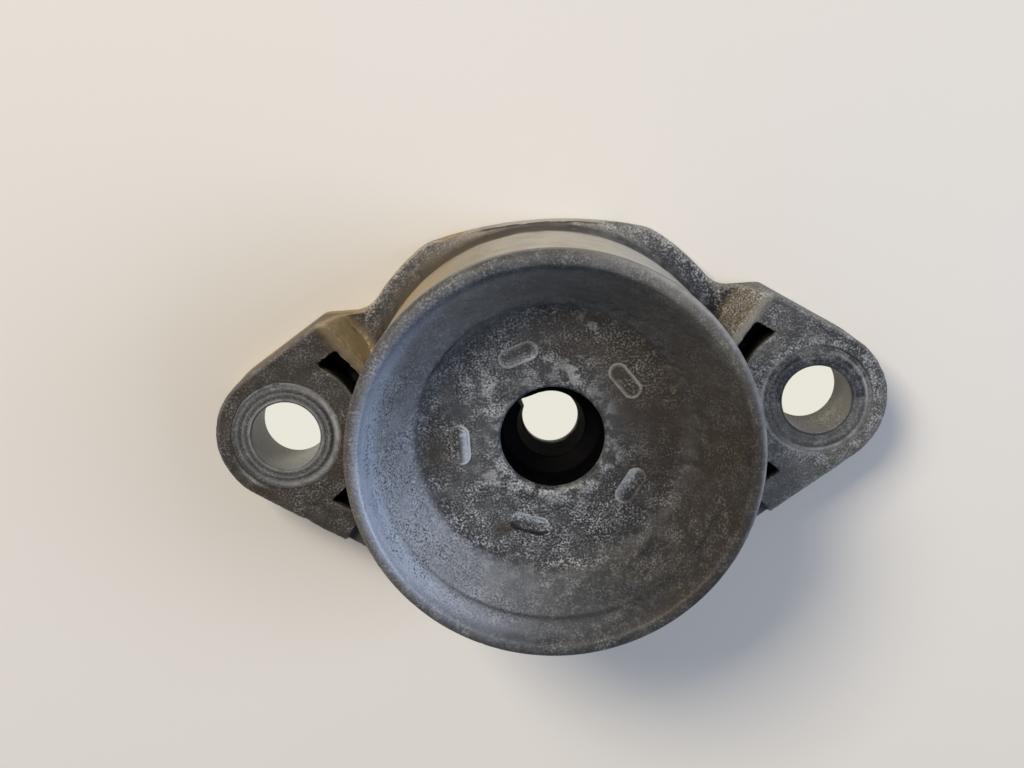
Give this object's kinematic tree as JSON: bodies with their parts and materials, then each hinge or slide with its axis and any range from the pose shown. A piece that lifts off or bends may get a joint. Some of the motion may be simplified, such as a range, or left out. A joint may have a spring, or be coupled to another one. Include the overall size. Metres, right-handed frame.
{
  "type": "rear shock absorber top mount",
  "caption": "Cast aluminium shock absorber top mount with bolt ears, a deep bump stop cup staked inside a round wall, and a rubber bearing with a steel rod plate.",
  "frame": {"origin": "centre of the flat mounting face, on the damper rod's axis", "axes": "+Z along the rod's axis from the mounting face to the cup's mouth, +X towards one bolt ear, +Y towards the side where the ears have a square shoulder"},
  "size_m": [0.1266, 0.072, 0.0412],
  "materials": {
    "cast_housing": "die cast, weathered, dull grey-brown",
    "pressed_cup": "pressed and turned, pitted and stained grey",
    "rubber": "moulded, matt black",
    "steel": "stamped sheet, dull"
  },
  "bodies": {
    "root": {"housing": "cast_housing", "bump_stop_cup": "pressed_cup", "rubber_bush": "rubber", "steel_plate": "steel"}
  },
  "joints": []
}
